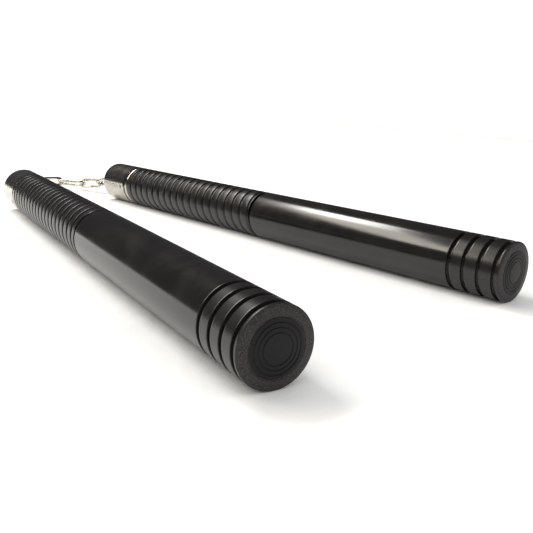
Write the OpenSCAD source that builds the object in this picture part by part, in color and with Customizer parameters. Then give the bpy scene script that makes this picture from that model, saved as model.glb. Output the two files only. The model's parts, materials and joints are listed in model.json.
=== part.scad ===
// A pair of turned sticks joined by a chain. Each stick ends in a metal ferrule that holds a ball
// bearing, and the bearing carries a swivel eye for the chain. Both sticks lie on the ground in a
// narrow V, with the slack chain curved round beyond their ferrules.
// The origin is on the ground under the middle of the whole outline, and +Y runs towards the chain.

/* [Sticks] */
// Diameter of each stick
stick_d = 25; // [23:0.1:31]
// Length of each stick from the crown of its butt to the face of its ferrule
stick_len = 305; // [240:1:380]
// Angle between the two sticks as they lie
spread = 11.2; // [4:0.1:24]
// Turn of stick A about its own axis
stick_a_roll = 40; // [0:1:359]
// Turn of stick B about its own axis
stick_b_roll = 178; // [0:1:359]

/* [Butt] */
// Height of the crown on the end face
crown_h = 0.9; // [0.4:0.1:2]
// Radius of the rounded rim
rim_r = 0.5; // [0.4:0.1:1.6]
// Number of square grooves behind the rim
butt_grooves = 4; // [1:1:6]
// Place of the first groove's near side
butt_groove_start = 2.15; // [2:0.05:5]
// Distance from one butt groove to the next
butt_groove_pitch = 6.75; // [4:0.05:10]
// Width of a butt groove
butt_groove_w = 1.9; // [0.8:0.1:2.5]
// Depth of a butt groove
butt_groove_depth = 1.2; // [0.4:0.1:2]
// Radii of the fine rings turned in the end face
face_rings = [4.7, 6.1, 7.5, 9]; // [2:0.1:10]
// Width and depth of a fine ring
face_ring_w = 0.4; // [0.2:0.1:0.8]

/* [Grip] */
// Place of the square groove that ends the grip
grip_start = 146.5; // [90:0.5:180]
// Width of the groove that ends the grip
grip_end_groove_w = 1.6; // [0.8:0.1:2.5]
// Depth of the groove that ends the grip
grip_end_groove_depth = 1; // [0.4:0.1:1.6]
// Distance from one grip groove to the next
grip_pitch = 6.6; // [4:0.1:10]
// Width of a grip groove at the surface
grip_groove_w = 2; // [1:0.1:3]
// Depth of a grip groove
grip_groove_depth = 0.8; // [0.3:0.1:1.2]

/* [Ferrule] */
// Length of the ferrule
ferrule_len = 32; // [28:0.5:44]
// Wall of the ferrule round the spigot
ferrule_wall = 1.8; // [1.2:0.1:2.5]
// Thickness of the ferrule's end wall
ferrule_end_wall = 3; // [2:0.1:4]
// Radius of the ferrule's rounded front edge
ferrule_edge_r = 2.6; // [1:0.1:2.8]
// Width of the bead at the ferrule's mouth
bead_w = 2.4; // [1.5:0.1:4]
// Width of the groove behind the bead
neck_w = 2.2; // [1:0.1:3]
// Depth of the groove behind the bead
neck_depth = 0.9; // [0.4:0.1:1]
// Number of pins that hold the ferrule on its spigot
ferrule_pin_count = 3; // [2:1:6]
// Diameter of a ferrule pin
ferrule_pin_d = 2.2; // [1.5:0.1:3]
// Length of a ferrule pin
ferrule_pin_len = 5.5; // [4:0.1:6]

/* [Bearing] */
// Outer diameter of the bearing
bearing_od = 16; // [15:0.1:19.2]
// Width of the bearing
bearing_w = 5; // [4.6:0.1:6]
// Diameter of a bearing ball
ball_d = 2.78; // [2.2:0.01:3]
// Number of balls in a bearing
ball_count = 7; // [5:1:8]
// Gap between a ball and its races
race_gap = 0.06; // [0.03:0.01:0.1]

/* [Swivel] */
// Diameter of the swivel pin
swivel_pin_d = 5; // [4.2:0.1:5.6]
// Diameter of the collar between the bearing and the eye
collar_d = 7.8; // [7:0.1:8.2]
// Distance from the ferrule's face to the centre of the eye's hole
eye_reach = 8.9; // [8:0.1:14]
// Wall round the eye's hole
eye_wall = 1.8; // [1.5:0.1:2]
// Width of the lock nut across its flats
nut_flats = 8; // [7.5:0.1:9]
// Height of the lock nut
nut_h = 4; // [3:0.1:5]
// Thickness of the washer under the nut
washer_t = 0.8; // [0.5:0.1:1.2]

/* [Chain] */
// Diameter of the link wire
wire_d = 2.2; // [1.8:0.1:2.7]
// Distance from one link to the next
link_pitch = 17.7; // [14.5:0.1:24]
// Turn of swivel eye A about the axis of its stick
eye_a_roll = 118; // [90:1:150]

/* [Fits] */
// Gap between pieces that are seated in each other
seat_gap = 0.03; // [0.01:0.01:0.06]
// Gap between the two wires where links cross
link_gap = 0.35; // [0.25:0.01:0.6]
// Play on each side of a wire inside the next link's opening
link_play = 0.7; // [0.6:0.01:1]
// Gap between an eye's flat and the sides of its link
eye_gap = 0.85; // [0.8:0.01:1.1]
// Gap round the wire in an eye's hole
eye_hole_gap = 1; // [0.9:0.1:1.2]
// Gap between a turning piece and the piece round it
turn_gap = 0.6; // [0.3:0.1:1]

/* [Hidden] */
$fn = 64;
stick_r = stick_d/2;
wire_r = wire_d/2;
ferrule_start = stick_len - ferrule_len;
bearing_front = stick_len - ferrule_end_wall;
bearing_back = bearing_front - bearing_w;
spigot_r = stick_r - ferrule_wall;
seat_r = bearing_od/2;
ball_circle_r = (bearing_od + swivel_pin_d)/4;
ball_r = ball_d/2;
race_r = ball_r + race_gap;
land_gap = 1.15;
cage_t = 1;
cage_h = bearing_w - 1;
pocket_r = nut_flats/2/cos(30) + 1.5;
pocket_len = washer_t + nut_h + 3.2;
thread_end = 1.2;
shoulder = 1.2;
link_bend_r = wire_d + link_play;
cross_gap = wire_d + link_gap;
link_len = link_pitch + cross_gap;
link_straight = link_len - 2*link_bend_r;
eye_t = 2*(link_bend_r - wire_r - eye_gap);
eye_hole_d = wire_d + 2*eye_hole_gap;
eye_head_d = eye_hole_d + 2*eye_wall;
pin_inset = 3.2;

// Headings of the links in plan, from +Y towards +X, from stick A to stick B
headings = [3, 17, 33, 57, 91, 129, 157, 177];
// Slopes of the links, all but the last, which brings eye B level with eye A
slopes = [-10, -6, -3, -1, -1, -1, 5];
link_count = len(headings);

function unit(v) = v/norm(v);
function aim(heading, slope) = [sin(heading)*cos(slope), cos(heading)*cos(slope), sin(slope)];

// Axis of each stick, from its butt to its chain end, and the axis of eye A's hole
axis_a = aim(spread/2, 0);
axis_b = aim(-spread/2, 0);
hole_a = unit(cos(eye_a_roll)*cross(axis_a, [0, 0, 1]) + sin(eye_a_roll)*[0, 0, 1]);

// A link is [its direction, the direction of its wire at both tips, its near tip]. The tips are
// points on the wire's centre line. A link's near tip hooks square round the last link's far tip.
function far_tip(link) = link[2] + link_len*link[0];
function next_link(last, dir) =
    let (wire = unit(cross(dir, last[1])))
    [dir, wire, far_tip(last) - cross_gap*unit(cross(last[1], wire))];
function add_links(links, k) = k == len(slopes)
    ? links
    : add_links(concat(links, [next_link(links[k - 1], aim(headings[k], slopes[k]))]), k + 1);
// Slope of the last link, found in a few rounds from a first guess
function closing_slope(last, heading, guess, rounds) = rounds == 0
    ? guess
    : closing_slope(last, heading,
        asin(-next_link(last, aim(heading, guess))[2][2]/link_len), rounds - 1);

first_dir = aim(headings[0], slopes[0]);
first_link = [first_dir, unit(cross(cross(first_dir, hole_a), first_dir)), [0, 0, 0]];
most_links = add_links([first_link], 1);
last_heading = headings[link_count - 1];
last_slope = closing_slope(most_links[link_count - 2], last_heading, 15, 8);
links = concat(most_links,
    [next_link(most_links[link_count - 2], aim(last_heading, last_slope))]);

// Eye centres, ferrule faces and butts, with eye A at zero
eye_b = far_tip(links[link_count - 1]);
hole_b = links[link_count - 1][1];
face_a = -eye_reach*axis_a;
face_b = eye_b - eye_reach*axis_b;
butt_a = face_a - stick_len*axis_a;
butt_b = face_b - stick_len*axis_b;

// The outline in plan, which sets the origin
side = stick_r*cos(spread/2);
tail = stick_r*sin(spread/2);
low_x = butt_a[0] - side;
high_x = butt_b[0] + side;
low_y = min(butt_a[1], butt_b[1]) - tail;
high_y = max([for (link = links) max(link[2][1], far_tip(link)[1])]) + wire_r;
shift = [-(low_x + high_x)/2, -(low_y + high_y)/2, stick_r - face_a[2]];

// Puts a piece drawn along +Z, from the butt, onto stick A or stick B
module on_stick(butt, heading, roll) {
    translate(butt + shift)
        rotate([0, 0, -heading])
            rotate([-90, 0, 0])
                rotate([0, 0, roll])
                    children();
}

module on_a(roll = stick_a_roll) {
    on_stick(butt_a, spread/2, roll) children();
}

module on_b(roll = stick_b_roll) {
    on_stick(butt_b, -spread/2, roll) children();
}

// Draws a piece in a frame given by its own X and Z directions
module in_frame(origin, x, z) {
    y = cross(z, x);
    multmatrix([[x[0], y[0], z[0], origin[0]],
                [x[1], y[1], z[1], origin[1]],
                [x[2], y[2], z[2], origin[2]],
                [0, 0, 0, 1]])
        children();
}

function arc(cr, cz, rad, from, to, steps) =
    [for (i = [0:steps]) let (t = from + (to - from)*i/steps) [cr + rad*cos(t), cz + rad*sin(t)]];

function square_groove(z, w, depth) =
    [[stick_r, z], [stick_r - depth, z], [stick_r - depth, z + w], [stick_r, z + w]];

function vee_groove(z, w, depth) =
    [[stick_r, z - w/2], [stick_r - depth, z - w/8], [stick_r - depth, z + w/8],
        [stick_r, z + w/2]];

// The turned stick: crowned butt, square grooves, smooth shank, grooved grip, bored spigot
module rod() {
    crown_edge = stick_r - rim_r;
    crown_r = (crown_edge*crown_edge + crown_h*crown_h)/(2*crown_h);
    crown_angle = asin(crown_edge/crown_r);
    grip_first = grip_start + grip_end_groove_w + grip_pitch*0.7;
    grip_last = ferrule_start - grip_pitch/2;
    spigot_end = bearing_back - seat_gap;
    color("#1d1d21") difference() {
        rotate_extrude() polygon(concat(
            arc(0, crown_r, crown_r, -90, -90 + crown_angle, 6),
            arc(crown_edge, crown_h + rim_r, rim_r, -60, 0, 3),
            [for (i = [0:butt_grooves - 1]) each
                square_groove(butt_groove_start + i*butt_groove_pitch, butt_groove_w,
                    butt_groove_depth)],
            square_groove(grip_start, grip_end_groove_w, grip_end_groove_depth),
            [for (z = [grip_first:grip_pitch:grip_last]) each
                vee_groove(z, grip_groove_w, grip_groove_depth)],
            [[stick_r, ferrule_start - seat_gap], [spigot_r - seat_gap, ferrule_start - seat_gap],
                [spigot_r - seat_gap, spigot_end], [pocket_r, spigot_end],
                [pocket_r, spigot_end - pocket_len], [0, spigot_end - pocket_len]]));
        for (r = face_rings)
            rotate_extrude()
                translate([r, crown_r - sqrt(crown_r*crown_r - r*r)])
                    circle(d = face_ring_w);
        ferrule_pin_holes();
    }
}

// Radial holes for the pins, through the ferrule and into the spigot
module ferrule_pin_holes() {
    for (i = [0:ferrule_pin_count - 1])
        rotate([0, 0, i*360/ferrule_pin_count])
            translate([stick_r - pin_depth(), 0, ferrule_pin_z()])
                rotate([0, 90, 0])
                    cylinder(d = ferrule_pin_d + 2*seat_gap, h = pin_depth() + 1);
}

function ferrule_pin_z() = ferrule_start + bead_w + neck_w + pin_inset;
function pin_depth() = ferrule_pin_len + 0.4;

// The pins that keep the ferrule on, each a little below the ferrule's skin
module ferrule_pins() {
    color("#8d8a84")
        for (i = [0:ferrule_pin_count - 1])
            rotate([0, 0, i*360/ferrule_pin_count])
                translate([stick_r - 0.2 - ferrule_pin_len, 0, ferrule_pin_z()])
                    rotate([0, 90, 0])
                        cylinder(d = ferrule_pin_d, h = ferrule_pin_len);
}

// The metal cap: bead, neck, plain barrel and rounded front edge, bored for spigot and bearing
module ferrule() {
    neck_start = ferrule_start + bead_w;
    hole_r = collar_d/2 + turn_gap;
    bead_r = 0.5;
    color("#a9a49a") difference() {
        rotate_extrude() polygon(concat(
            arc(stick_r - bead_r, ferrule_start + bead_r, bead_r, -90, 0, 3),
            arc(stick_r - bead_r, neck_start - bead_r, bead_r, 0, 90, 3),
            [[stick_r - neck_depth, neck_start], [stick_r - neck_depth, neck_start + neck_w],
                [stick_r - 0.3, neck_start + neck_w], [stick_r, neck_start + neck_w + 0.3]],
            arc(stick_r - ferrule_edge_r, stick_len - ferrule_edge_r, ferrule_edge_r, 0, 90, 6),
            [[hole_r, stick_len], [hole_r, bearing_front + seat_gap],
                [seat_r + seat_gap, bearing_front + seat_gap], [seat_r + seat_gap, bearing_back],
                [spigot_r, bearing_back], [spigot_r, ferrule_start]]));
        ferrule_pin_holes();
    }
}

// A groove for the balls, centred on the bearing
module raceway() {
    translate([0, 0, bearing_back + bearing_w/2])
        rotate_extrude()
            translate([ball_circle_r, 0])
                circle(r = race_r);
}

module ring(outer, inner, from, to) {
    rotate_extrude()
        translate([inner, from])
            square([outer - inner, to - from]);
}

module bearing_outer_race() {
    color("#b9bcc0") difference() {
        ring(seat_r, ball_circle_r + land_gap, bearing_back, bearing_front);
        raceway();
    }
}

module bearing_inner_race() {
    color("#c4c7cb") difference() {
        ring(ball_circle_r - land_gap, swivel_pin_d/2 + seat_gap, bearing_back, bearing_front);
        raceway();
    }
}

module at_balls() {
    for (i = [0:ball_count - 1])
        translate([0, 0, bearing_back + bearing_w/2])
            rotate([0, 0, i*360/ball_count])
                children();
}

module bearing_balls() {
    color("#d6d8db")
        at_balls()
            translate([ball_circle_r, 0, 0])
                sphere(r = ball_r);
}

// The cage keeps the balls apart and goes round with them
module bearing_cage() {
    middle = bearing_back + bearing_w/2;
    color("#b48a4a") difference() {
        ring(ball_circle_r + cage_t/2, ball_circle_r - cage_t/2, middle - cage_h/2,
            middle + cage_h/2);
        at_balls()
            rotate([0, 90, 0])
                cylinder(r = race_r, h = 2*ball_circle_r);
    }
}

// Pin, collar and flat eye in one piece, drawn with the hole along local X
module swivel_eye() {
    thread_start = bearing_back - washer_t - nut_h - thread_end;
    eye_z = stick_len + eye_reach;
    collar_end = stick_len + shoulder;
    color("#9b968c") difference() {
        union() {
            translate([0, 0, thread_start])
                cylinder(d = swivel_pin_d, h = bearing_front - thread_start);
            translate([0, 0, bearing_front + seat_gap])
                cylinder(d = collar_d, h = collar_end - bearing_front - seat_gap);
            translate([0, 0, bearing_front - shoulder])
                cylinder(d = swivel_pin_d, h = 2*shoulder);
            intersection() {
                translate([-eye_t/2, -eye_head_d/2, collar_end - shoulder])
                    cube([eye_t, eye_head_d, eye_z - collar_end + shoulder]);
                translate([0, 0, collar_end - shoulder])
                    cylinder(d = collar_d - 0.4, h = eye_reach);
            }
            translate([-eye_t/2, 0, eye_z])
                rotate([0, 90, 0])
                    cylinder(d = eye_head_d, h = eye_t);
        }
        translate([-eye_t, 0, eye_z])
            rotate([0, 90, 0])
                cylinder(d = eye_hole_d, h = 2*eye_t);
    }
}

module swivel_washer() {
    color("#b0aca4")
        ring(ball_circle_r - land_gap, swivel_pin_d/2 + seat_gap,
            bearing_back - seat_gap - washer_t, bearing_back - seat_gap);
}

module swivel_nut() {
    top = bearing_back - 2*seat_gap - washer_t;
    color("#8f8c86") difference() {
        translate([0, 0, top - nut_h])
            cylinder(d = nut_flats/cos(30), h = nut_h, $fn = 6);
        translate([0, 0, top - nut_h - 1])
            cylinder(d = swivel_pin_d + 2*seat_gap, h = nut_h + 2);
    }
}

// A welded oval link
module chain_link(link) {
    middle = (link[2] + far_tip(link))/2 + shift;
    color("#b3ada2")
        in_frame(middle, link[1], link[0])
            for (s = [-1, 1]) {
                translate([s*link_bend_r, 0, -link_straight/2])
                    cylinder(r = wire_r, h = link_straight);
                translate([0, 0, s*link_straight/2])
                    rotate([90, 0, 0])
                        rotate_extrude(angle = s*180)
                            translate([link_bend_r, 0])
                                circle(r = wire_r);
            }
}

// Turn about a stick's axis that sets an eye's hole along a given direction
function eye_roll(heading, hole) =
    atan2(-hole[2], hole[0]*cos(heading) - hole[1]*sin(heading));
roll_a = eye_roll(spread/2, hole_a);
roll_b = eye_roll(-spread/2, hole_b);

on_a() rod();  // rod_a
on_a() ferrule();  // ferrule_a
on_a() ferrule_pins();  // ferrule_pins_a
on_a() bearing_outer_race();  // bearing_outer_race_a
on_a() bearing_inner_race();  // bearing_inner_race_a
on_a() bearing_balls();  // bearing_balls_a
on_a() bearing_cage();  // bearing_cage_a
on_a(roll_a) swivel_eye();  // swivel_eye_a
on_a(roll_a) swivel_washer();  // swivel_washer_a
on_a(roll_a) swivel_nut();  // swivel_nut_a
on_b() rod();  // rod_b
on_b() ferrule();  // ferrule_b
on_b() ferrule_pins();  // ferrule_pins_b
on_b() bearing_outer_race();  // bearing_outer_race_b
on_b() bearing_inner_race();  // bearing_inner_race_b
on_b() bearing_balls();  // bearing_balls_b
on_b() bearing_cage();  // bearing_cage_b
on_b(roll_b) swivel_eye();  // swivel_eye_b
on_b(roll_b) swivel_washer();  // swivel_washer_b
on_b(roll_b) swivel_nut();  // swivel_nut_b
for (k = [1:link_count])
    chain_link(links[k - 1]);
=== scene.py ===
import json
import math
import bpy
from mathutils import Matrix, Vector

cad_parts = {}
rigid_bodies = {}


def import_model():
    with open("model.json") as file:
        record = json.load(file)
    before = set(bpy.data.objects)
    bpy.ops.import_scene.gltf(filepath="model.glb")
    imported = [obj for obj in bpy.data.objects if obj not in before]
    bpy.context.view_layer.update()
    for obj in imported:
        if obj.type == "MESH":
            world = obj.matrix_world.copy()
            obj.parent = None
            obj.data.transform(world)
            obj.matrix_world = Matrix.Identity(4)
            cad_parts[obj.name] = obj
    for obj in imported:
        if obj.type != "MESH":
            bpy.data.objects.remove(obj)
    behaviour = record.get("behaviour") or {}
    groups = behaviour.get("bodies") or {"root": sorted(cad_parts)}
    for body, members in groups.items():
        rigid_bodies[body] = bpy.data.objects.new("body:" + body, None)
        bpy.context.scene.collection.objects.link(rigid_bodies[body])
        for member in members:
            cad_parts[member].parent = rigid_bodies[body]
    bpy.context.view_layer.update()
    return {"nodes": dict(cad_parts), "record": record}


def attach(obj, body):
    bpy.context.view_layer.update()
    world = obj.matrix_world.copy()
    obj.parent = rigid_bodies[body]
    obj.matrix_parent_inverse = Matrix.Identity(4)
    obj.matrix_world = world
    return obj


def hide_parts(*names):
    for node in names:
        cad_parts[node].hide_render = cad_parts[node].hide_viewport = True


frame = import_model()
scene = bpy.context.scene
scene.view_settings.view_transform = "Standard"
mm = 0.001
jointOf = {j["name"]: j for j in frame["record"]["behaviour"]["joints"]}
print("frame loaded:", len(frame["nodes"]), "nodes")

# camera
shot = {
    "place": (-169 * mm, -313.9 * mm, 78 * mm),
    "heading": 37.65,  # degrees from +Y towards +X
    "down": 14.69,
    "roll": 2.3,
    "lens": 44.73,
}
cameraData = bpy.data.cameras.new("camera")
cameraData.lens = shot["lens"]
cameraData.sensor_width = 36
cameraData.clip_start = 0.01
camera = bpy.data.objects.new("camera", cameraData)
scene.collection.objects.link(camera)
camera.matrix_world = (
    Matrix.Translation(shot["place"])
    @ Matrix.Rotation(math.radians(-shot["heading"]), 4, "Z")
    @ Matrix.Rotation(math.radians(90 - shot["down"]), 4, "X")
    @ Matrix.Rotation(math.radians(shot["roll"]), 4, "Z")
)
scene.camera = camera

# where each stick lies
stick = {
    "length": 305 * mm,    # crown of the butt to the face of the ferrule
    "eyeReach": 8.9 * mm,  # face of the ferrule to the centre of the eye's hole
    "joint": {"a": "swivel_a_turn", "b": "stick_b_turn"},
    "roll": {"a": 300, "b": 136},  # sets where each spiral groove comes round
}


def stickPlace(side):
    joint = jointOf[stick["joint"][side]]
    along = Vector(joint["axis"]).normalized()
    butt = Vector(joint["pos_m"]) - along * (stick["length"] + stick["eyeReach"])
    left = along.cross(Vector((0, 0, 1))).normalized()
    turned = Matrix((left, along.cross(left), along)).transposed().to_4x4()
    roll = Matrix.Rotation(math.radians(stick["roll"][side]), 4, "Z")
    return Matrix.Translation(butt) @ turned @ roll


# modelling helpers
def clearSelection():
    bpy.ops.object.select_all(action="DESELECT")


def onlySelect(piece):
    clearSelection()
    piece.select_set(True)
    bpy.context.view_layer.objects.active = piece


def addRing(name, radius, height, count):
    clearSelection()
    bpy.ops.mesh.primitive_circle_add(
        vertices=count, radius=radius, fill_type="NOTHING", location=(0, 0, height)
    )
    piece = bpy.context.object
    piece.name = piece.data.name = name
    bpy.ops.object.transform_apply()
    bpy.ops.object.mode_set(mode="EDIT")
    bpy.ops.mesh.select_all(action="SELECT")
    return piece


def turnProfile(profile):  # extrudes the selected ring through (radius, height) steps
    radius, height = profile[0]
    for nextRadius, nextHeight in profile[1:]:
        bpy.ops.mesh.extrude_region_move(
            TRANSFORM_OT_translate={"value": (0, 0, nextHeight - height)}
        )
        grow = nextRadius / radius
        bpy.ops.transform.resize(value=(grow, grow, 1), center_override=(0, 0, nextHeight))
        radius, height = nextRadius, nextHeight


def selectVerts(piece, wanted):  # picks vertices by their place, in edit mode
    bpy.ops.mesh.select_mode(type="VERT")
    bpy.ops.mesh.select_all(action="DESELECT")
    bpy.ops.object.mode_set(mode="OBJECT")
    for vert in piece.data.vertices:
        vert.select = wanted(vert.co)
    bpy.ops.object.mode_set(mode="EDIT")


def finishMesh(piece, sharpAngle):
    bpy.ops.mesh.select_all(action="SELECT")
    bpy.ops.mesh.remove_doubles(threshold=0.5e-6)
    bpy.ops.mesh.normals_make_consistent(inside=False)
    bpy.ops.object.mode_set(mode="OBJECT")
    onlySelect(piece)
    bpy.ops.object.shade_smooth_by_angle(angle=math.radians(sharpAngle))


def placePiece(piece, place):  # leaves the object at the origin with its place in its mesh
    piece.matrix_world = place
    onlySelect(piece)
    bpy.ops.object.transform_apply(location=True, rotation=True, scale=True)


def copyPiece(piece, name):
    twin = piece.copy()
    twin.data = piece.data.copy()
    twin.name = twin.data.name = name
    scene.collection.objects.link(twin)
    return twin


# the turned rods
rod = {
    "radius": 12.5 * mm,
    "sides": 120,
    "crown": 0.9 * mm,
    "rim": 0.5 * mm,
    "middle": 0.3 * mm,         # smallest ring of the butt and of the pocket, closed to a point
    "faceRings": [4.7, 6.1, 7.5, 9],  # mm from the middle of the butt
    "ringDeep": 0.2 * mm,
    "ringOutline": ((-0.28, 0), (-0.16, 0.8), (0, 1), (0.16, 0.8), (0.28, 0)),  # mm, depth share
    "faceInside": (2, 3.6),           # mm, plain loops inside the fine rings
    "faceOutside": (9.9, 10.6, 11.2),
    "shankLoops": (50, 75, 100, 125),  # mm from the butt
    "bandGrooves": 4,
    "firstGroove": 2.15 * mm,
    "groovePitch": 6.75 * mm,
    "grooveWide": 1.9 * mm,
    "grooveDeep": 1.2 * mm,
    "edge": 0.14 * mm,          # small chamfer on every groove's edges
    "gripStart": 146.5 * mm,
    "gripGrooveWide": 1.6 * mm,
    "gripGrooveDeep": 1 * mm,
    "gripEnd": 272.97 * mm,
    "spiralPitch": 6.6 * mm,
    "spiralTurns": 21,
    "spigot": 10.67 * mm,
    "spigotEnd": 296.97 * mm,
    "spigotEdge": 0.4 * mm,
    "pocket": 6.12 * mm,
    "pocketEnd": 288.8 * mm,
}
# radius and height of one band of the grip, from mid band to mid band, in mm
gripBand = [
    (12.5, 0), (12.49, 1.2), (12.46, 2.0), (12.4, 2.3), (12.26, 2.5), (12.0, 2.62),
    (11.78, 2.78), (11.7, 3.05), (11.69, 3.3),
    (11.7, 3.55), (11.78, 3.82), (12.0, 3.98), (12.26, 4.1), (12.4, 4.3), (12.46, 4.6),
    (12.49, 5.4), (12.5, 6.6),
]


def squareGroove(start, wide, deep):
    full, floor, edge = rod["radius"], rod["radius"] - deep, rod["edge"]
    return [
        (full, start - edge * 3), (full, start - edge), (full - edge * 0.3, start - edge * 0.3),
        (full - edge, start), (floor + edge, start), (floor, start + edge),
        (floor, start + wide - edge), (floor + edge, start + wide),
        (full - edge, start + wide), (full - edge * 0.3, start + wide + edge * 0.3),
        (full, start + wide + edge), (full, start + wide + edge * 3),
    ]


def buttFace():  # crowned end with fine rings, then the rounded rim
    flatEdge = rod["radius"] - rod["rim"]
    bow = (flatEdge ** 2 + rod["crown"] ** 2) / (2 * rod["crown"])

    def onCrown(r):
        return (r, bow - math.sqrt(bow ** 2 - r ** 2))

    steps = [onCrown(rod["middle"])] + [onCrown(r * mm) for r in rod["faceInside"]]
    for ring in rod["faceRings"]:
        for out, deep in rod["ringOutline"]:
            r, height = onCrown(ring * mm + out * mm)
            steps.append((r, height + deep * rod["ringDeep"]))
    steps += [onCrown(r * mm) for r in rod["faceOutside"]]
    for turn in range(-60, 1, 10):
        a = math.radians(turn)
        steps.append((flatEdge + rod["rim"] * math.cos(a),
                      rod["crown"] + rod["rim"] * (1 + math.sin(a))))
    return steps


gripFrom = rod["gripStart"] + rod["gripGrooveWide"]
closeBy = 0.002 * mm  # points nearer than this lie on the same ring


def makeShank():  # butt, bands, plain shank and the groove before the grip
    profile = buttFace()
    for n in range(rod["bandGrooves"]):
        start = rod["firstGroove"] + n * rod["groovePitch"]
        profile += squareGroove(start, rod["grooveWide"], rod["grooveDeep"])
    profile += [(rod["radius"], z * mm) for z in rod["shankLoops"]]
    # this stops one point short of gripFrom, which leaves a fine open ring before the grip
    profile += squareGroove(rod["gripStart"], rod["gripGrooveWide"], rod["gripGrooveDeep"])[:-5]
    shank = addRing("rodShank", *profile[0], rod["sides"])
    turnProfile(profile)
    bpy.ops.object.mode_set(mode="OBJECT")
    return shank


def makeTail():  # the spigot inside the ferrule, with the pocket for the nut
    edge = rod["spigotEdge"]
    profile = [
        (rod["spigot"], rod["gripEnd"]), (rod["spigot"], rod["spigotEnd"] - edge),
        (rod["spigot"] - edge, rod["spigotEnd"]), (rod["pocket"], rod["spigotEnd"]),
        (rod["pocket"], rod["pocketEnd"]), (rod["middle"], rod["pocketEnd"]),
    ]
    tail = addRing("rodTail", *profile[0], rod["sides"])
    turnProfile(profile)
    bpy.ops.mesh.merge(type="CENTER")  # closes the bottom of the pocket
    bpy.ops.object.mode_set(mode="OBJECT")
    return tail


def makeGrip():  # one band's outline, run round and along the rod as a screw
    clearSelection()
    firstTurn = gripFrom - 1.5 * rod["spiralPitch"]
    bpy.ops.mesh.primitive_plane_add(
        size=mm, location=(gripBand[0][0] * mm, 0, firstTurn)
    )
    grip = bpy.context.object
    grip.name = "rodGrip"
    bpy.ops.object.transform_apply()
    bpy.ops.object.mode_set(mode="EDIT")
    bpy.ops.mesh.select_mode(type="VERT")
    bpy.ops.mesh.select_all(action="SELECT")
    bpy.ops.mesh.merge(type="CENTER")
    for (r0, z0), (r1, z1) in zip(gripBand, gripBand[1:]):
        bpy.ops.mesh.extrude_region_move(
            TRANSFORM_OT_translate={"value": ((r1 - r0) * mm, 0, (z1 - z0) * mm)}
        )
    bpy.ops.object.mode_set(mode="OBJECT")
    screw = grip.modifiers.new("screw", "SCREW")
    screw.axis = "Z"
    screw.angle = math.tau
    screw.screw_offset = rod["spiralPitch"]
    screw.iterations = rod["spiralTurns"] + 2
    screw.steps = screw.render_steps = rod["sides"]
    bpy.ops.object.modifier_apply(modifier="screw")
    bpy.ops.object.mode_set(mode="EDIT")
    bpy.ops.mesh.select_all(action="SELECT")
    bpy.ops.mesh.remove_doubles(threshold=1e-6)
    bpy.ops.mesh.select_all(action="SELECT")
    bpy.ops.mesh.bisect(
        plane_co=(0, 0, gripFrom), plane_no=(0, 0, 1), clear_inner=True, threshold=1e-7
    )
    bpy.ops.mesh.select_all(action="SELECT")
    bpy.ops.mesh.bisect(
        plane_co=(0, 0, rod["gripEnd"]), plane_no=(0, 0, 1), clear_outer=True, threshold=1e-7
    )
    bpy.ops.object.mode_set(mode="OBJECT")
    return grip


def makeRod():
    shank, tail, grip = makeShank(), makeTail(), makeGrip()
    clearSelection()
    for part in (shank, tail, grip):
        part.select_set(True)
    bpy.context.view_layer.objects.active = shank
    bpy.ops.object.join()
    bpy.ops.object.mode_set(mode="EDIT")
    outer = rod["radius"] + 0.1 * mm
    floor = rod["radius"] - rod["gripGrooveDeep"]
    for height, inner in ((gripFrom, floor), (rod["gripEnd"], rod["spigot"])):
        selectVerts(shank, lambda co: abs(co.z - height) < closeBy
                    and inner - closeBy < co.xy.length < outer)
        bpy.ops.mesh.select_mode(type="EDGE")
        bpy.ops.mesh.bridge_edge_loops()
    selectVerts(shank, lambda co: co.xy.length < rod["middle"] + 0.01 * mm and co.z < 2 * mm)
    bpy.ops.mesh.merge(type="CENTER")  # closes the middle of the butt
    finishMesh(shank, 32)
    return shank


rodPattern = makeRod()
rods = {}
for side in "ab":
    piece = copyPiece(rodPattern, "rod_turned_" + side)
    placePiece(piece, stickPlace(side))
    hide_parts("rod_" + side)
    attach(piece, "stick_" + side)
    rods[side] = piece
bpy.data.objects.remove(rodPattern)
print("rods turned:", len(rods["a"].data.polygons), "faces each")

# chain links with a small weld on one side
link = {
    "count": 8,
    "wire": 1.1 * mm,       # radius of the wire
    "bend": 2.9 * mm,       # radius of the ends, on the wire's centre line
    "length": 20.25 * mm,   # tip to tip on the centre line
    "crossGap": 2.55 * mm,  # between the centre lines of two wires that cross
    "ringSides": 20,
    "bendSteps": 14,
    "weld": [(0, 1.13), (0.5, 1.12), (0.85, 1.04), (1.0, 0.97), (1.15, 1.0)],  # mm, times wire
}


def linkEnds():  # near tip, far tip and wire direction of every link, from the joints
    ends = []
    farWire, farTip = None, None
    for n in range(1, link["count"] + 1):
        leave = jointOf["link_%d_swing" % (n + 1) if n < link["count"] else "swivel_b_swing"]
        tip, wire = Vector(leave["pos_m"]), Vector(leave["axis"]).normalized()
        if n == 1:
            near = Vector(jointOf["link_1_swing"]["pos_m"])
        else:
            step = farWire.cross(wire).normalized() * link["crossGap"]
            if step.dot(tip - farTip) < 0:
                step.negate()
            near = farTip - step
        ends.append((near, tip, wire))
        farWire, farTip = wire, tip
    return ends


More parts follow.
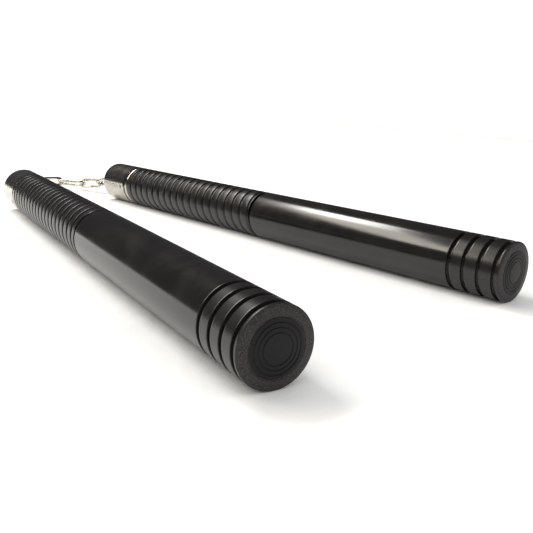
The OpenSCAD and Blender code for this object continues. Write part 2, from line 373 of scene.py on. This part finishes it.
def makeLink():  # lies along Z with its wide way along X
    straight = link["length"] / 2 - link["bend"]
    piece = addRing("linkPattern", link["wire"], 0, link["ringSides"])
    bpy.ops.transform.translate(value=(link["bend"], 0, 0))

    def weldSteps(weld):
        height, size = weld[0]
        bpy.ops.transform.resize(value=(size, size, 1), center_override=(link["bend"], 0, height * mm))
        for nextHeight, nextSize in weld[1:]:
            bpy.ops.mesh.extrude_region_move(
                TRANSFORM_OT_translate={"value": (0, 0, (nextHeight - height) * mm)})
            grow = nextSize / size
            bpy.ops.transform.resize(
                value=(grow, grow, 1), center_override=(link["bend"], 0, nextHeight * mm))
            height, size = nextHeight, nextSize
        return height * mm

    at = weldSteps(link["weld"])
    bpy.ops.mesh.extrude_region_move(TRANSFORM_OT_translate={"value": (0, 0, straight - at)})
    bpy.ops.mesh.spin(steps=link["bendSteps"], angle=math.pi, center=(0, 0, straight), axis=(0, 1, 0))
    bpy.ops.mesh.extrude_region_move(TRANSFORM_OT_translate={"value": (0, 0, -straight)})
    bpy.ops.object.mode_set(mode="OBJECT")
    half = copyPiece(piece, "linkHalf")  # the lower half mirrors the upper one
    half.matrix_world = Matrix.Scale(-1, 4, (0, 0, 1))
    onlySelect(half)
    bpy.ops.object.transform_apply(location=True, rotation=True, scale=True)
    piece.select_set(True)
    bpy.context.view_layer.objects.active = piece
    bpy.ops.object.join()
    bpy.ops.object.mode_set(mode="EDIT")
    finishMesh(piece, 60)
    return piece


linkPattern = makeLink()
for n, (near, tip, wire) in enumerate(linkEnds(), 1):
    along = (tip - near).normalized()
    across = (wire - along * wire.dot(along)).normalized()
    turned = Matrix((across, along.cross(across), along)).transposed().to_4x4()
    piece = copyPiece(linkPattern, "link_welded_%d" % n)
    placePiece(piece, Matrix.Translation((near + tip) / 2) @ turned)
    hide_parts("chain_link_%d" % n)
    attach(piece, "link_%d" % n)
bpy.data.objects.remove(linkPattern)
print("chain links made:", link["count"])


# shader groups
def newGroup(name, inputs, outputs):
    group = bpy.data.node_groups.new(name, "ShaderNodeTree")
    for label, kind, value in inputs:
        socket = group.interface.new_socket(label, in_out="INPUT", socket_type=kind)
        if value is not None:
            socket.default_value = value
    for label, kind in outputs:
        group.interface.new_socket(label, in_out="OUTPUT", socket_type=kind)
    return group, group.nodes.new("NodeGroupInput"), group.nodes.new("NodeGroupOutput")


def addNode(tree, kind, settings=(), **values):
    node = tree.nodes.new(kind)
    for key, value in dict(settings).items():
        setattr(node, key, value)
    for key, value in values.items():
        socket = node.inputs[int(key[1:])] if key[0] == "i" and key[1:].isdigit() else node.inputs[key]
        if isinstance(value, bpy.types.NodeSocket):
            tree.links.new(value, socket)
        else:
            socket.default_value = value
    return node


def mathNode(tree, operation, a, b=0.0, clamp=False):
    node = addNode(tree, "ShaderNodeMath", {"operation": operation, "use_clamp": clamp}, i0=a, i1=b)
    return node.outputs[0]


def mixColor(tree, fac, a, b):
    node = addNode(tree, "ShaderNodeMix", {"data_type": "RGBA"}, i0=fac, i6=a, i7=b)
    return node.outputs[2]


def mapRange(tree, value, low, high, toLow=0.0, toHigh=1.0):
    node = addNode(tree, "ShaderNodeMapRange", {}, i0=value, i1=low, i2=high, i3=toLow, i4=toHigh)
    return node.outputs[0]


def buildTurnedLines():  # fine tool marks that run round a turned piece; Place is in mm
    group, inside, out = newGroup(
        "turnedLines",
        [("Place", "NodeSocketVector", None), ("Per mm", "NodeSocketFloat", 4.0),
         ("Broken", "NodeSocketFloat", 0.5)],
        [("Height", "NodeSocketFloat"), ("Run", "NodeSocketFloat")],
    )
    split = addNode(group, "ShaderNodeSeparateXYZ", {}, Vector=inside.outputs["Place"])
    flat = addNode(group, "ShaderNodeCombineXYZ", {}, X=split.outputs[0], Y=split.outputs[1])
    radius = addNode(group, "ShaderNodeVectorMath", {"operation": "LENGTH"}, i0=flat.outputs[0])
    run = mathNode(group, "ADD", split.outputs[2], radius.outputs["Value"])
    dense = mathNode(group, "MULTIPLY", run, inside.outputs["Per mm"])
    ringAt = addNode(group, "ShaderNodeCombineXYZ", {}, Z=dense)
    rings = addNode(group, "ShaderNodeTexNoise", {}, Vector=ringAt.outputs[0], Scale=1.0, Detail=3.0)
    around = addNode(group, "ShaderNodeVectorMath", {"operation": "SCALE"},
                     i0=flat.outputs[0], Scale=0.25)
    broken = addNode(group, "ShaderNodeVectorMath", {"operation": "ADD"},
                     i0=around.outputs[0], i1=ringAt.outputs[0])
    marks = addNode(group, "ShaderNodeTexNoise", {}, Vector=broken.outputs[0], Scale=2.3, Detail=2.0)
    both = addNode(group, "ShaderNodeMix", {"data_type": "FLOAT"}, i0=inside.outputs["Broken"],
                   i2=rings.outputs[0], i3=marks.outputs[0])
    group.links.new(both.outputs[0], out.inputs["Height"])
    group.links.new(run, out.inputs["Run"])
    return group


def buildHandling():  # smudges, dust and small dents from use; Place is in mm
    group, inside, out = newGroup(
        "handling",
        [("Place", "NodeSocketVector", None), ("Smudge mm", "NodeSocketFloat", 14.0),
         ("Speck mm", "NodeSocketFloat", 0.5)],
        [("Smudge", "NodeSocketFloat"), ("Speck", "NodeSocketFloat"),
         ("Grain", "NodeSocketFloat")],
    )
    place = inside.outputs["Place"]
    smudgeScale = mathNode(group, "DIVIDE", 1.0, inside.outputs["Smudge mm"])
    smudge = addNode(group, "ShaderNodeTexNoise", {}, Vector=place, Scale=smudgeScale,
                     Detail=5.0, Roughness=0.6, Distortion=0.6)
    smudgeMask = mapRange(group, smudge.outputs[0], 0.42, 0.68)
    speckScale = mathNode(group, "DIVIDE", 1.0, inside.outputs["Speck mm"])
    speck = addNode(group, "ShaderNodeTexVoronoi", {}, Vector=place, Scale=speckScale)
    speckMask = mapRange(group, speck.outputs["Distance"], 0.16, 0.04)
    grain = addNode(group, "ShaderNodeTexNoise", {}, Vector=place, Scale=3.2, Detail=4.0)
    group.links.new(smudgeMask, out.inputs["Smudge"])
    group.links.new(speckMask, out.inputs["Speck"])
    group.links.new(grain.outputs[0], out.inputs["Grain"])
    return group


turnedLines = buildTurnedLines()
handling = buildHandling()


def newMaterial(name):
    material = bpy.data.materials.new(name)
    material.use_nodes = True
    material.node_tree.nodes.clear()
    return material, material.node_tree


def placeInMm(tree, place=None):  # a piece's own coordinates, in mm, with Z along its axis
    coord = tree.nodes.new("ShaderNodeTexCoord")
    inverse = (place or Matrix.Identity(4)).inverted()
    mapping = addNode(tree, "ShaderNodeMapping", {}, Vector=coord.outputs["Object"])
    mapping.inputs["Scale"].default_value = (1 / mm,) * 3
    mapping.inputs["Rotation"].default_value = inverse.to_euler("XYZ")
    mapping.inputs["Location"].default_value = inverse.translation / mm
    return mapping.outputs[0]


def useGroup(tree, group, **values):
    node = tree.nodes.new("ShaderNodeGroup")
    node.node_tree = group
    for key, value in values.items():
        socket = node.inputs[key.replace("_", " ")]
        if isinstance(value, bpy.types.NodeSocket):
            tree.links.new(value, socket)
        else:
            socket.default_value = value
    return node


def closeMaterial(tree, color, rough, height, bumpDepth, settings):
    bump = addNode(tree, "ShaderNodeBump", {}, Height=height, Distance=bumpDepth, Strength=1.0)
    shader = addNode(tree, "ShaderNodeBsdfPrincipled")
    tree.links.new(color, shader.inputs["Base Color"])
    tree.links.new(rough, shader.inputs["Roughness"])
    tree.links.new(bump.outputs[0], shader.inputs["Normal"])
    for key, value in settings.items():
        shader.inputs[key].default_value = value
    end = tree.nodes.new("ShaderNodeOutputMaterial")
    tree.links.new(shader.outputs[0], end.inputs[0])


# black lacquer over turned wood
lacquer = {
    "black": (0.0100, 0.0088, 0.0080, 1),
    "worn": (0.017, 0.015, 0.0135, 1),
    "end": (0.008, 0.0075, 0.0075, 1),  # the middle of the butt
    "annulus": (0.075, 0.070, 0.068, 1),  # its outer ring, rubbed grey
    "shankRough": 0.16,
    "bandRough": 0.27,
    "endRough": 0.46,
    "shine": 0.5,
    "endDull": 0.28,                   # how much less the butt's end reflects
    "buttZone": 24.5,                  # mm of grooved bands behind the butt
    "endZone": (1.35, 1.05),           # mm from the butt, where its end fades in
    "gripZone": (147.0, 147.6),        # mm from the butt, where the grip begins
    "rubZone": (9.2, 9.6),             # mm from the middle, where the outer ring begins
    "linesPerMm": 3.4,
    "bump": 0.03 * mm,
    "gripRough": 0.13,
}


def lacquerMaterial(name, place):
    material, tree = newMaterial(name)
    at = placeInMm(tree, place)
    lines = useGroup(tree, turnedLines, Place=at, Per_mm=lacquer["linesPerMm"], Broken=0.45)
    used = useGroup(tree, handling, Place=at, Smudge_mm=18.0, Speck_mm=1.1)
    z = addNode(tree, "ShaderNodeSeparateXYZ", {}, Vector=at).outputs[2]
    butt = mapRange(tree, z, lacquer["buttZone"] + 0.6, lacquer["buttZone"])
    end = mapRange(tree, z, *lacquer["endZone"])
    grip = mapRange(tree, z, *lacquer["gripZone"])
    shade = mixColor(tree, used.outputs["Smudge"], lacquer["black"], lacquer["worn"])
    rub = mapRange(tree, lines.outputs["Run"], *lacquer["rubZone"])
    scratch = mathNode(tree, "MULTIPLY", mapRange(tree, used.outputs["Grain"], 0.38, 0.62),
                       mapRange(tree, lines.outputs["Height"], 0.35, 0.65, 0.4, 1.0))
    face = mixColor(tree, mathNode(tree, "MULTIPLY", rub, scratch), lacquer["end"],
                    lacquer["annulus"])
    shade = mixColor(tree, end, shade, face)
    rough = mathNode(tree, "ADD", lacquer["shankRough"],
                     mathNode(tree, "MULTIPLY", used.outputs["Smudge"], 0.05))
    rough = mathNode(tree, "ADD", rough, mathNode(
        tree, "MULTIPLY", butt, lacquer["bandRough"] - lacquer["shankRough"]))
    rough = mathNode(tree, "ADD", rough, mathNode(
        tree, "MULTIPLY", end, lacquer["endRough"] - lacquer["bandRough"]))
    rough = mathNode(tree, "ADD", rough, mathNode(tree, "MULTIPLY", grip, lacquer["gripRough"]))
    rough = mathNode(tree, "ADD", rough,
                     mathNode(tree, "MULTIPLY", used.outputs["Speck"], 0.12), True)
    strong = mathNode(tree, "ADD", 0.02, mathNode(tree, "MULTIPLY", butt, 0.35))
    strong = mathNode(tree, "ADD", strong, mathNode(tree, "MULTIPLY", end, 0.9))
    height = mathNode(tree, "MULTIPLY", lines.outputs["Height"], strong)
    height = mathNode(tree, "ADD", height, mathNode(tree, "MULTIPLY", used.outputs["Grain"],
                      mathNode(tree, "ADD", 0.01, mathNode(tree, "MULTIPLY", end, 1.6))))
    closeMaterial(tree, shade, rough, height, lacquer["bump"], {"Metallic": 0.0, "IOR": 1.5})
    gloss = mathNode(tree, "SUBTRACT", lacquer["shine"],
                     mathNode(tree, "MULTIPLY", end, lacquer["endDull"]))
    shader = next(node for node in tree.nodes if node.type == "BSDF_PRINCIPLED")
    tree.links.new(gloss, shader.inputs["Specular IOR Level"])
    return material


for side in "ab":
    rods[side].data.materials.clear()
    rods[side].data.materials.append(lacquerMaterial("lacquer_" + side, stickPlace(side)))

# metals
metals = {  # tone, second tone, roughness, lines per mm (0 for none), bump depth in mm
    "ferrule": ((0.50, 0.475, 0.43, 1), (0.40, 0.375, 0.335, 1), 0.16, 5.0, 0.004),
    "chain": ((0.80, 0.76, 0.69, 1), (0.60, 0.56, 0.49, 1), 0.22, 0.0, 0.006),
    "swivel": ((0.56, 0.53, 0.48, 1), (0.36, 0.34, 0.30, 1), 0.26, 2.0, 0.008),
    "pin": ((0.30, 0.29, 0.27, 1), (0.18, 0.17, 0.16, 1), 0.38, 0.0, 0.014),
    "race": ((0.70, 0.71, 0.72, 1), (0.55, 0.56, 0.57, 1), 0.14, 6.0, 0.004),
    "ball": ((0.78, 0.78, 0.79, 1), (0.66, 0.66, 0.67, 1), 0.07, 0.0, 0.001),
    "cage": ((0.62, 0.45, 0.20, 1), (0.45, 0.31, 0.13, 1), 0.30, 4.0, 0.008),
    "nut": ((0.46, 0.45, 0.42, 1), (0.30, 0.29, 0.27, 1), 0.34, 0.0, 0.014),
}


def metalMaterial(name, finish, place):
    tone, second, roughness, perMm, depth = metals[finish]
    material, tree = newMaterial(name)
    at = placeInMm(tree, place)
    used = useGroup(tree, handling, Place=at, Smudge_mm=6.0, Speck_mm=0.6)
    shade = mixColor(tree, used.outputs["Smudge"], tone, second)
    rough = mathNode(tree, "ADD", roughness,
                     mathNode(tree, "MULTIPLY", used.outputs["Smudge"], 0.1))
    rough = mathNode(tree, "ADD", rough,
                     mathNode(tree, "MULTIPLY", used.outputs["Speck"], 0.15), True)
    height = mathNode(tree, "MULTIPLY", used.outputs["Grain"], 0.5)
    if perMm:
        lines = useGroup(tree, turnedLines, Place=at, Per_mm=perMm, Broken=0.3)
        height = mathNode(tree, "ADD", mathNode(tree, "MULTIPLY", height, 0.3),
                          lines.outputs["Height"])
    closeMaterial(tree, shade, rough, height, depth * mm, {"Metallic": 1.0})
    return material


def dress(piece, material):
    piece.data.materials.clear()
    piece.data.materials.append(material)


finishOf = {
    "ferrule": "ferrule", "ferrule_pins": "pin", "bearing_outer_race": "race",
    "bearing_inner_race": "race", "bearing_balls": "ball", "bearing_cage": "cage",
    "swivel_eye": "swivel", "swivel_washer": "nut", "swivel_nut": "nut",
}
for side in "ab":
    place = stickPlace(side)
    made = {}
    for node, finish in finishOf.items():
        if finish not in made:
            made[finish] = metalMaterial(finish + "_" + side, finish, place)
        dress(frame["nodes"][node + "_" + side], made[finish])
chainMetal = metalMaterial("chain_nickel", "chain", None)
for n in range(1, link["count"] + 1):
    dress(bpy.data.objects["link_welded_%d" % n], chainMetal)
    dress(frame["nodes"]["chain_link_%d" % n], chainMetal)
for side in "ab":
    dress(frame["nodes"]["rod_" + side], rods[side].data.materials[0])
print("materials:", len(bpy.data.materials))

# floor and light
studio = {
    "floorSize": 2.4,
    "floorTone": (0.86, 0.86, 0.855, 1),
    # painted shade of the cloth's folds: a darker tone where the fold noise rises
    "foldShadeTone": (0.83, 0.83, 0.83, 1),
    "foldScale": 14.0,
    "weaveScale": 900.0,
    "foldDepth": 4 * mm,
    "room": (0.055, 0.055, 0.062, 1),   # what the gloss sees above the floor
    "fill": (0.96, 0.96, 0.95, 1),       # what lights the floor evenly
    "backdrop": (1.05, 1.05, 1.05, 1),
}
lamps = {  # centre, size, watts, colour; both face straight down
    "whitePanel": ((-0.16, 0.88, 1.2), (0.50, 0.34), 13.0, (1.0, 0.985, 0.95)),
    "creamPanel": ((-1.12, 0.88, 1.2), (1.42, 0.46), 20.0, (1.0, 0.94, 0.84)),
}
clearSelection()
bpy.ops.mesh.primitive_grid_add(x_subdivisions=8, y_subdivisions=8, size=studio["floorSize"])
floor = bpy.context.object
floor.name = "floor"
floorMaterial, tree = newMaterial("floorCloth")
coord = tree.nodes.new("ShaderNodeTexCoord")
fold = addNode(tree, "ShaderNodeTexNoise", {}, Vector=coord.outputs["Object"],
               Scale=studio["foldScale"], Detail=4.0)
weave = addNode(tree, "ShaderNodeTexNoise", {}, Vector=coord.outputs["Object"],
                Scale=studio["weaveScale"])
# the folds are bumped for real, and their darker tone on top is painted shade
tone = mixColor(tree, fold.outputs[0], studio["floorTone"], studio["foldShadeTone"])
rough = mapRange(tree, weave.outputs[0], 0, 1, 0.85, 1.0)
height = mathNode(tree, "ADD", fold.outputs[0], mathNode(tree, "MULTIPLY", weave.outputs[0], 0.02))
closeMaterial(tree, tone, rough, height, studio["foldDepth"], {"Specular IOR Level": 0.1})
dress(floor, floorMaterial)

world = bpy.data.worlds.new("studio")
scene.world = world
world.use_nodes = True
tree = world.node_tree
tree.nodes.clear()
ray = tree.nodes.new("ShaderNodeLightPath")
fill = addNode(tree, "ShaderNodeBackground", {}, Color=studio["fill"])
room = addNode(tree, "ShaderNodeBackground", {}, Color=studio["room"])
pale = addNode(tree, "ShaderNodeBackground", {}, Color=studio["backdrop"])
behind = tree.nodes.new("ShaderNodeMixShader")
tree.links.new(ray.outputs["Is Camera Ray"], behind.inputs[0])
tree.links.new(fill.outputs[0], behind.inputs[1])
tree.links.new(pale.outputs[0], behind.inputs[2])
mixed = tree.nodes.new("ShaderNodeMixShader")
tree.links.new(ray.outputs["Is Glossy Ray"], mixed.inputs[0])
tree.links.new(behind.outputs[0], mixed.inputs[1])
tree.links.new(room.outputs[0], mixed.inputs[2])
tree.links.new(mixed.outputs[0], tree.nodes.new("ShaderNodeOutputWorld").inputs[0])

for name, (place, size, watts, color) in lamps.items():
    light = bpy.data.lights.new(name, "AREA")
    light.shape = "RECTANGLE"
    light.size, light.size_y = size
    light.energy = watts
    light.color = color
    lamp = bpy.data.objects.new(name, light)
    scene.collection.objects.link(lamp)
    lamp.location = place
    lamp.visible_camera = False
print("studio lit")
